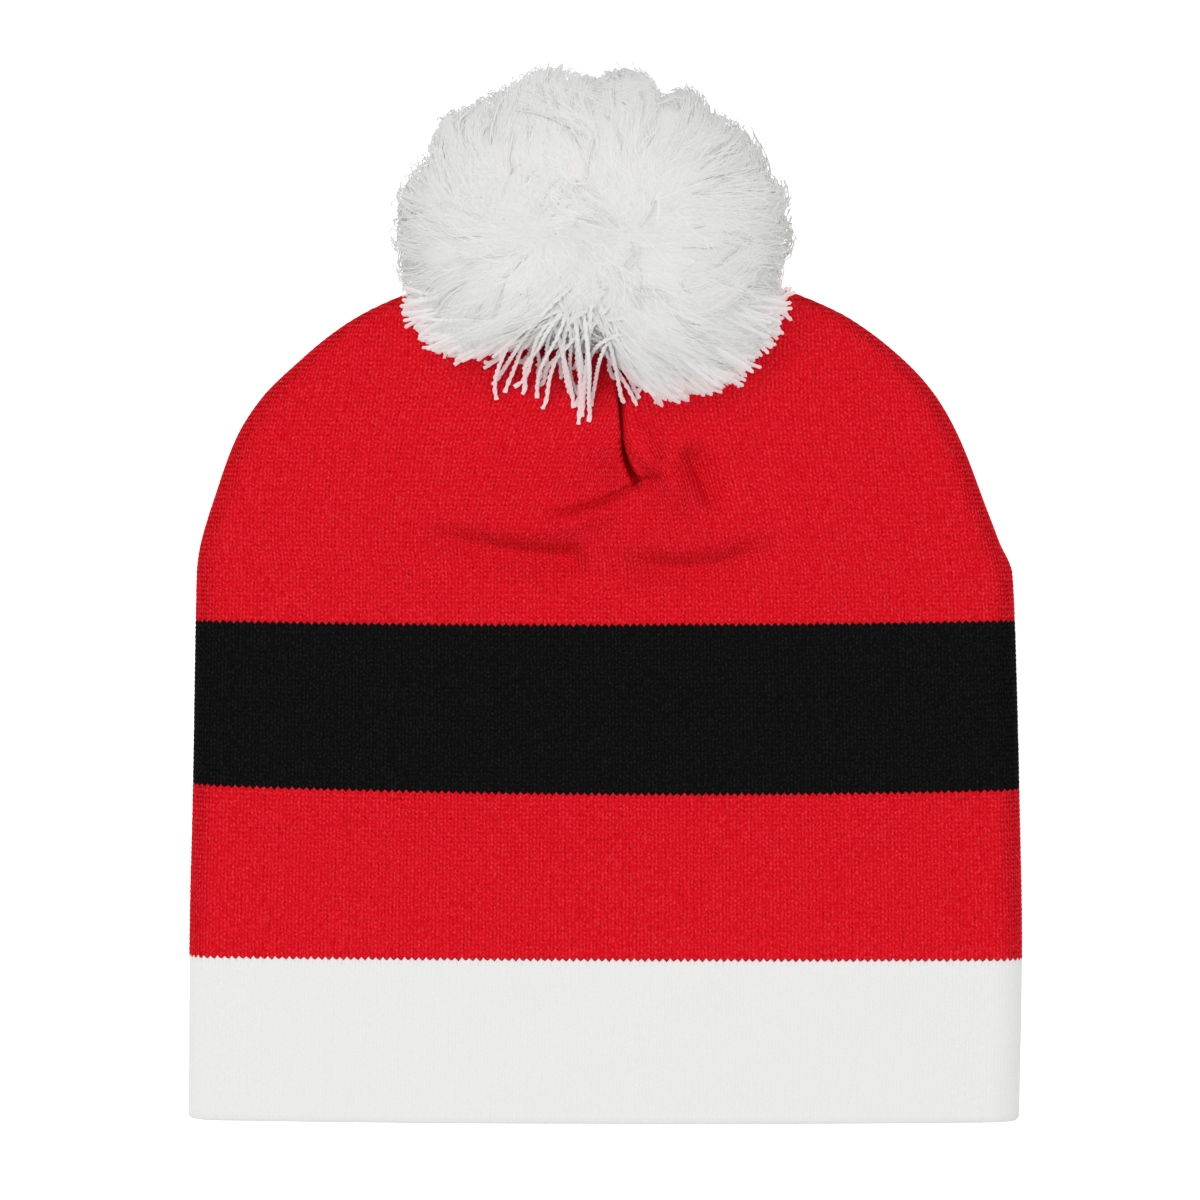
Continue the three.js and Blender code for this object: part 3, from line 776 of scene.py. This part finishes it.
def rim_yarns(rng):
    """Paths of the blunt yarn ends that stand out round the lower edge of the ball."""
    bearing = rng.uniform(*RIM_BEARINGS, RIM_COUNT)
    height = rng.uniform(*RIM_LEVELS, RIM_COUNT)
    ways = ways_at(bearing, height)
    away, strength = fanned(ways, off_parting(ways)[0])
    sweep = RIM_SWEEP["always"] + RIM_SWEEP["notch"] * strength[:, None]
    tips = unit(ways + rng.normal(0, RIM_JITTER, ways.shape) + sweep * away)
    reach = np.clip(rng.normal(*RIM_REACH, (RIM_COUNT, 1, 1)), *RIM_REACH_LIMITS)
    t = np.linspace(0, 1, RIM_POINTS)[None, :, None]
    lying = unit(ways[:, None] * (1 - t) + tips[:, None] * t)
    return ball_point(lying, RIM_ROOT + (reach - RIM_ROOT) * t, ball_size(lying))


def bend_point(root, tip, bend, above, rng):
    """Where loose yarns bend, a little above a height."""
    share = bend["root_share"]
    point = root * share + tip * (1 - share) + rng.normal(0, bend["scatter"], root.shape)
    point[:, 2] = above + rng.uniform(*bend["lift"], len(root))
    return point[:, None]


def fringe_yarns(rng):
    """Paths of the long loose yarns, which leave the ball's flank, bend over and lie on the crown."""
    table = np.array(FRINGE, float)
    companion = table + rng.normal(0, 1, table.shape) * COMPANION_SPREAD + COMPANION_SHIFT
    table = np.concatenate((table, companion))
    count = len(table)
    height = FRINGE_LEVEL + rng.normal(0, FRINGE_LEVEL_SPREAD, count)
    ways = ways_at(np.radians(table[:, 0]), height)
    root = ball_point(ways, FRINGE_ROOT, ball_size(ways))
    tip = np.stack((table[:, 1], table[:, 2], np.zeros(count)), -1)
    tip[:, 2] = surface_under(tip) + 2 * PLY_RADIUS
    over = bend_point(root, tip, OVER_BEND, root[:, 2], rng)
    fall = bend_point(root, tip, FALL_BEND, tip[:, 2], rng)
    t = np.linspace(0, 1, FRINGE_POINTS)[None, :, None]
    paths = root[:, None] * (1 - t) ** 3 + 3 * over * t * (1 - t) ** 2
    paths = paths + 3 * fall * t**2 * (1 - t) + tip[:, None] * t**3
    wave = waving(t, count, FRINGE_WAVE_TURNS, rng)
    return settle(paths + rng.normal(0, FRINGE_WAVE, (count, 1, 3)) * wave * t, 2 * PLY_RADIUS)


def twisted(paths):
    """Two plies that wind round each path."""
    first, second = carried_frame(paths)
    length = lengths_along(paths)
    plies = []
    for start in (0, math.pi):
        angle = (start + 2 * math.pi * length / PLY_PITCH)[..., None]
        plies.append(paths + PLY_TURN * (first * np.cos(angle) + second * np.sin(angle)))
    return np.concatenate(plies)


def heart_lumps(ways):
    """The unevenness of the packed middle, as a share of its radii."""
    across, along, up = np.moveaxis(ways, -1, 0)
    lumps = np.sin(LUMP["across"] * across + LUMP["bend"] * np.sin(LUMP["bend_along"] * along))
    return LUMP["height"] * (lumps * np.sin(LUMP["along"] * along + LUMP["up"] * up))[..., None]


def heart_piece():
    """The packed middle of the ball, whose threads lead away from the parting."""
    pole = unit(PARTING.mean(0))
    first = unit(np.cross(pole, (0, 1, 0)))
    second = np.cross(pole, first)
    lean = np.linspace(0, math.pi, HEART_RINGS + 1)[1:-1, None, None]
    turn = np.linspace(0, 2 * math.pi, HEART_COLUMNS, endpoint=False)[None, :, None]
    ways = pole * np.cos(lean) + (first * np.cos(turn) + second * np.sin(turn)) * np.sin(lean)
    points = settle(ball_point(ways, HEART_SHARE + heart_lumps(ways), ball_size(ways)), HEART_CLEARANCE)
    rings, around = points.shape[:2]
    grid = np.arange(rings * around).reshape(rings, around)
    ends = np.stack((pole, -pole))
    ends = settle(ball_point(ends, HEART_SHARE, ball_size(ends)), HEART_CLEARANCE)
    top, bottom = grid.size, grid.size + 1
    walls = loop_faces(grid[1:], grid[:-1])
    upper = np.stack((np.full(around, top), grid[0], np.roll(grid[0], -1)), -1)
    lower = np.stack((np.full(around, bottom), np.roll(grid[-1], -1), grid[-1]), -1)
    faces = np.concatenate((walls, upper, lower))
    ring, column = np.divmod(faces, around)
    ring = np.where(faces == top, 0, ring)
    column = np.where(faces < top, column, column[:, 1:2])
    column = np.where((column == 0) & (column.max(1, keepdims=True) == around - 1), around, column)
    thread = column * THREADS_PER_COLUMN + 0.5
    # Distance from the parting along each thread; the yarn finish paints shade over its first millimetres, as
    # at a root.
    uv = np.stack((thread, ring * math.pi / HEART_RINGS * POMPOM_RADII.mean()), -1)
    points = np.concatenate((points.reshape(-1, 3), ends))
    return build_mesh("pompom_heart", points, faces, uv, soft_shading(points))


def soft_shading(points):
    """Directions that light a yarn as part of the whole ball, turned up as loose fibres let light through."""
    outward = unit((points - POMPOM_CENTRE) / POMPOM_RADII**2)
    return unit(outward + np.array((0, 0, LIFTED_SHADING)))


def yarn_piece(name, paths, radius, sides, softness, rng):
    """One mesh of many yarns. Softness turns their shading towards that of the whole ball."""
    swell = np.linspace(*YARN_SWELL, paths.shape[1])
    radii = radius * swell * rng.normal(1, YARN_UNEVENNESS, (len(paths), 1))
    points, faces, uv, around = tubes(paths, radii, sides)
    normals = unit(around * (1 - softness) + soft_shading(points) * softness)
    return build_mesh(name, points, faces, uv, normals)


def pompom_pieces():
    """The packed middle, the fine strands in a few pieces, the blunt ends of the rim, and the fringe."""
    rng = np.random.default_rng(POMPOM_SEED)
    ball = settle(ball_yarns(rng), YARN_RADIUS)
    rim = settle(rim_yarns(rng), RIM_RADIUS)
    fringe = twisted(fringe_yarns(rng))
    pieces = [heart_piece()]
    rng.shuffle(ball)
    shading = round(len(ball) * SHADING_SHARE)
    parts = ball[:shading], *np.array_split(ball[shading:], YARN_PIECES - 1)
    for part, paths in enumerate(parts):
        name = f"pompom_yarn_{part + 1}"
        piece = yarn_piece(name, paths, YARN_RADIUS, YARN_SIDES, SOFTNESS["yarn"], rng)
        piece.visible_shadow = part == 0
        pieces.append(piece)
    rim = yarn_piece("pompom_rim", rim, RIM_RADIUS, RIM_SIDES, SOFTNESS["rim"], rng)
    rim.visible_shadow = False
    fringe = yarn_piece("pompom_fringe", fringe, PLY_RADIUS, PLY_SIDES, SOFTNESS["fringe"], rng)
    return pieces + [rim, fringe]


class Graph:
    """A material's nodes, with short ways to add the kinds used here."""

    def __init__(self, name):
        self.material = bpy.data.materials.new(name)
        self.material.use_nodes = True
        self.nodes = self.material.node_tree.nodes
        self.links = self.material.node_tree.links
        self.nodes.clear()
        self.shader = self.nodes.new("ShaderNodeBsdfPrincipled")
        output = self.nodes.new("ShaderNodeOutputMaterial")
        self.links.new(self.shader.outputs["BSDF"], output.inputs["Surface"])

    def feed(self, socket, value):
        if isinstance(value, bpy.types.NodeSocket):
            self.links.new(value, socket)
        else:
            socket.default_value = value

    def thread_place(self):
        place = self.nodes.new("ShaderNodeUVMap")
        place.uv_map = "thread"
        split = self.nodes.new("ShaderNodeSeparateXYZ")
        self.links.new(place.outputs["UV"], split.inputs["Vector"])
        return place.outputs["UV"], split.outputs["X"], split.outputs["Y"]

    def object_place(self):
        return self.nodes.new("ShaderNodeTexCoord").outputs["Object"]

    def math(self, operation, first, second):
        node = self.nodes.new("ShaderNodeMath")
        node.operation = operation
        self.feed(node.inputs[0], first)
        self.feed(node.inputs[1], second)
        return node.outputs["Value"]

    def ease(self, value, low, high, at_low, at_high):
        """A smooth change from one number to another as a value goes from low to high."""
        node = self.nodes.new("ShaderNodeMapRange")
        node.interpolation_type = "SMOOTHSTEP"
        names = "Value", "From Min", "From Max", "To Min", "To Max"
        for name, number in zip(names, (value, low, high, at_low, at_high)):
            self.feed(node.inputs[name], number)
        return node.outputs["Result"]

    def plain(self, kind, result, **inputs):
        """What a node of a kind with no settings makes of its inputs."""
        node = self.nodes.new(kind)
        for name, value in inputs.items():
            self.feed(node.inputs[name], value)
        return node.outputs[result]

    def noise(self, place, scale, detail):
        return self.plain("ShaderNodeTexNoise", "Fac", Vector=place, Scale=scale, Detail=detail)

    def stretched(self, place, scale):
        return self.plain("ShaderNodeMapping", "Vector", Vector=place, Scale=scale)

    def mix(self, factor, first, second):
        node = self.nodes.new("ShaderNodeMix")
        node.data_type = "RGBA"
        self.feed(node.inputs["Factor"], factor)
        for socket, colour in zip([s for s in node.inputs if s.type == "RGBA"], (first, second)):
            self.feed(socket, colour if isinstance(colour, bpy.types.NodeSocket) else (*colour, 1))
        return [s for s in node.outputs if s.type == "RGBA"][0]

    def bump(self, height, strength, distance):
        inputs = {"Height": height, "Strength": strength, "Distance": distance}
        self.feed(self.shader.inputs["Normal"], self.plain("ShaderNodeBump", "Normal", **inputs))

    def finish(self, colour, **numbers):
        self.feed(self.shader.inputs["Base Color"], colour)
        for name, number in numbers.items():
            self.shader.inputs[name.replace("_", " ")].default_value = number
        return self.material


def knit_material(name, painted_pit_shade, middle, pale, relief, peeping=None):
    """Matt knit: painted shade in the pits between the stitch columns and rows, pale flecks of fibre that are
    strongest on the raised stitch legs, where they are a painted highlight, and the stitches' own relief. The
    next band's colour may peep through the pits of the hem's top course."""
    graph = Graph(name)
    stitch, across, along = graph.thread_place()

    def stitch_noise(kind):
        stretch, scale, detail = STITCH_NOISES[kind]
        return graph.noise(graph.stretched(stitch, stretch), scale, detail)

    def eased(value, kind):
        return graph.ease(value, *KNIT_EASES[kind])

    def times(first, second):
        return graph.math("MULTIPLY", first, second)

    across = graph.math("ADD", across, times(stitch_noise("wander"), KNIT_WANDER))
    column = graph.math("PINGPONG", across, HALF_STITCH)
    row = graph.math("PINGPONG", along, HALF_STITCH)
    # The pits between the stitch columns and between the rows take the pit colour: painted shade.
    groove = times(eased(column, "groove column"), eased(row, "groove row"))
    groove = times(groove, eased(stitch_noise("uneven"), "uneven"))
    notch = times(eased(column, "notch column"), eased(row, "notch row"))
    notch = times(notch, eased(stitch_noise("patchy"), "patchy"))
    pit = graph.math("MAXIMUM", groove, notch)
    legs = graph.math("SUBTRACT", eased(column, "leg rises"), eased(column, "leg falls"))
    rows = graph.math("ADD", legs, eased(row, "row rises"))
    place = graph.object_place()
    # Pale flecks: random fibre tone, strongest on the raised legs and rows, where they are a painted
    # highlight.
    fleck_and_highlight = times(eased(graph.noise(place, *FLECK_NOISE), "fleck_and_highlight"), eased(rows, "fleck rows"))
    colour = graph.mix(fleck_and_highlight, graph.mix(pit, middle, painted_pit_shade), pale)
    if peeping:
        colour = graph.mix(times(eased(along, "top course"), pit), colour, peeping)
    fuzz = times(graph.noise(place, *FUZZ_NOISE), FUZZ_SHARE)
    graph.bump(graph.math("ADD", rows, fuzz), relief, RELIEF_HEIGHT)
    return graph.finish(colour, Roughness=0.95, Specular_IOR_Level=0.04)


def yarn_material(name, white, cream_white, root, low, share, heights):
    """Soft white yarn: fine fibres run along each thread, with painted shade in the hollows between them,
    some threads are creamier, and the roots get painted shade. Low yarns take on a share of another colour
    between two heights: grey painted shade on the ball, and on the rim and fringe a pink painted reflection
    of the red knit below."""
    graph = Graph(name)
    thread, across, along = graph.thread_place()
    which = graph.nodes.new("ShaderNodeTexWhiteNoise")
    which.noise_dimensions = "1D"
    graph.links.new(graph.math("FLOOR", across, 0.0), which.inputs["W"])
    cream = graph.ease(which.outputs["Value"], *YARN_EASES["cream"])
    streak = graph.noise(graph.stretched(thread, STREAK_STRETCH), *STREAK_NOISE)
    colour = graph.mix(cream, white, cream_white)
    # Darker where the fibres' relief is low: painted shade between the fibres.
    colour = graph.mix(graph.ease(streak, *YARN_EASES["streak"]), colour, root)
    # Darker over the first millimetres from each root: painted shade where the yarn goes into the ball.
    colour = graph.mix(graph.ease(along, *YARN_EASES["root"]), colour, root)
    # Low yarns by height: grey painted shade over the ball's edges and lower side, and a pink painted
    # reflection of the red knit on the rim and fringe.
    height = graph.nodes.new("ShaderNodeSeparateXYZ")
    graph.links.new(graph.object_place(), height.inputs["Vector"])
    colour = graph.mix(graph.ease(height.outputs["Z"], *heights, share, 0.0), colour, low)
    graph.bump(streak, STREAK_RELIEF, RELIEF_HEIGHT)
    return graph.finish(colour, Roughness=0.9, Specular_IOR_Level=0.15, Sheen_Weight=0.2, Sheen_Roughness=0.5)


def dress(piece, material, node):
    piece.data.materials.clear()
    piece.data.materials.append(material)
    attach(piece, "root")
    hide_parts(node)


def add_camera():
    """A camera straight above the middle of the photograph's frame."""
    across = (PHOTO_SIZE / 2 - MIDDLE_PIXEL_X) * MM_PER_PIXEL
    along = (HEM_PIXEL_Y - PHOTO_SIZE / 2) * MM_PER_PIXEL
    x, y, _ = place_in_frame(np.array((across, along, 0.0)))
    data = bpy.data.cameras.new("camera")
    data.sensor_width = SENSOR
    data.lens = SENSOR * CAMERA_HEIGHT / (PHOTO_SIZE * MM_PER_PIXEL)
    camera = bpy.data.objects.new("camera", data)
    camera.location = (x, y, (CAMERA_HEIGHT + FOLD_RADIUS) * MM)
    bpy.context.scene.collection.objects.link(camera)
    bpy.context.scene.camera = camera


def add_floor():
    """A pale floor that glows a little, as a lit sweep of paper does, so that shadows stay faint."""
    mesh = bpy.data.meshes.new("floor")
    half = FLOOR_HALF
    corners = [(-half, -half, 0), (half, -half, 0), (half, half, 0), (-half, half, 0)]
    mesh.from_pydata(corners, [], [(0, 1, 2, 3)])
    graph = Graph("floor")
    graph.shader.inputs["Emission Color"].default_value = (1, 1, 1, 1)
    grey = (FLOOR_GREY, FLOOR_GREY, FLOOR_GREY, 1)
    mesh.materials.append(graph.finish(grey, Roughness=0.9, Emission_Strength=FLOOR_GLOW))
    floor = bpy.data.objects.new("floor", mesh)
    floor.location.z = -FLOOR_DROP
    bpy.context.scene.collection.objects.link(floor)


def add_light():
    """One broad soft light above and a little to the upper left, and even light from all round."""
    world = bpy.data.worlds.new("studio")
    bpy.context.scene.world = world
    world.use_nodes = True
    background = world.node_tree.nodes["Background"]
    background.inputs["Color"].default_value = (1, 1, 1, 1)
    background.inputs["Strength"].default_value = WORLD_STRENGTH
    data = bpy.data.lights.new("softbox", "AREA")
    data.shape = "SQUARE"
    data.size = SOFTBOX_SIZE
    data.energy = SOFTBOX_WATTS
    light = bpy.data.objects.new("softbox", data)
    light.location = SOFTBOX_PLACE
    light.rotation_euler = (-light.location).to_track_quat("-Z", "Y").to_euler()
    bpy.context.scene.collection.objects.link(light)
    bpy.context.scene.view_settings.view_transform = "Standard"


# The finishes, in linear colours. A knit's pit colour is painted shade, and its pale colour is partly a
# painted highlight. A yarn's root colour is painted shade; for yarn the heights in metres are those between
# which the low colour fades, which is grey painted shade on the ball and a pink painted reflection of the red
# knit on the rim and fringe.
RED_KNIT = knit_material(
    "red_knit_yarn", painted_pit_shade=(0.3, 0.0008, 0.0028), middle=(0.655, 0.0036, 0.0105), pale=(0.775, 0.034, 0.052),
    relief=0.6,
)
BLACK_KNIT = knit_material(
    "black_knit_yarn", painted_pit_shade=(0.0022, 0.0022, 0.0022), middle=(0.0036, 0.0036, 0.0039),
    pale=(0.0135, 0.0135, 0.014), relief=0.6,
)
WHITE_KNIT = knit_material(
    "white_knit_yarn", painted_pit_shade=(0.675, 0.675, 0.669), middle=(0.7, 0.7, 0.694), pale=(0.725, 0.725, 0.72),
    relief=0.2, peeping=(0.7, 0.42, 0.45),
)
WHITES = {"white": (0.72, 0.718, 0.712), "cream_white": (0.7, 0.693, 0.672), "root": (0.64, 0.638, 0.626)}
# Its low colour is grey painted shade over the ball's edges and lower side.
WHITE_YARN = yarn_material(
    "white_yarn_fibres", **WHITES, low=(0.5, 0.5, 0.5), share=0.44, heights=(0.035, 0.079)
)
# The rim's and the fringe's low colour is a pink painted reflection of the red knit under them.
RIM_YARN = yarn_material(
    "white_yarn_over_red", **WHITES, low=(0.72, 0.55, 0.56), share=0.9, heights=(0.028, 0.058)
)
FRINGE_YARN = yarn_material(
    "white_yarn_on_red", **WHITES, low=(0.87, 0.66, 0.68), share=0.95, heights=(0.026, 0.05)
)
YARNS = {"pompom_rim": RIM_YARN, "pompom_fringe": FRINGE_YARN}

# Each knit band: its node, where it starts and ends, how deep its stitches are, its finish, the size of
# its cloth laid flat, in metres, once round the hat and its depth, and how it is held.
BANDS = (
    # node, low, high, depth, material, slot, flat, held
    ("hem_band", 0.0, HEM_TOP, 0.1, WHITE_KNIT, "white_knit", (0.42, 0.041), "laid"),
    ("red_stripe", HEM_TOP, RED_TOP, 1.0, RED_KNIT, "red_knit", (0.42, 0.042), "laid"),
    ("black_stripe", RED_TOP, BLACK_TOP, 1.0, BLACK_KNIT, "black_knit", (0.42, 0.042), "laid"),
    ("crown", BLACK_TOP, HAT_LENGTH, 1.0, RED_KNIT, "red_knit", (0.414, 0.093), "gathered"),
)

for seed, (node, low, high, depth, material, slot, flat, held) in enumerate(BANDS):
    piece = knit_piece("knit_" + node, low, high, node == "hem_band", depth, seed)
    dress(piece, material, node)

for piece in pompom_pieces():
    dress(piece, YARNS.get(piece.name, WHITE_YARN), "pompom")

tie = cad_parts["pompom_tie"]
tie.data.materials.clear()
tie.data.materials.append(WHITE_KNIT)

add_floor()
add_light()
add_camera()
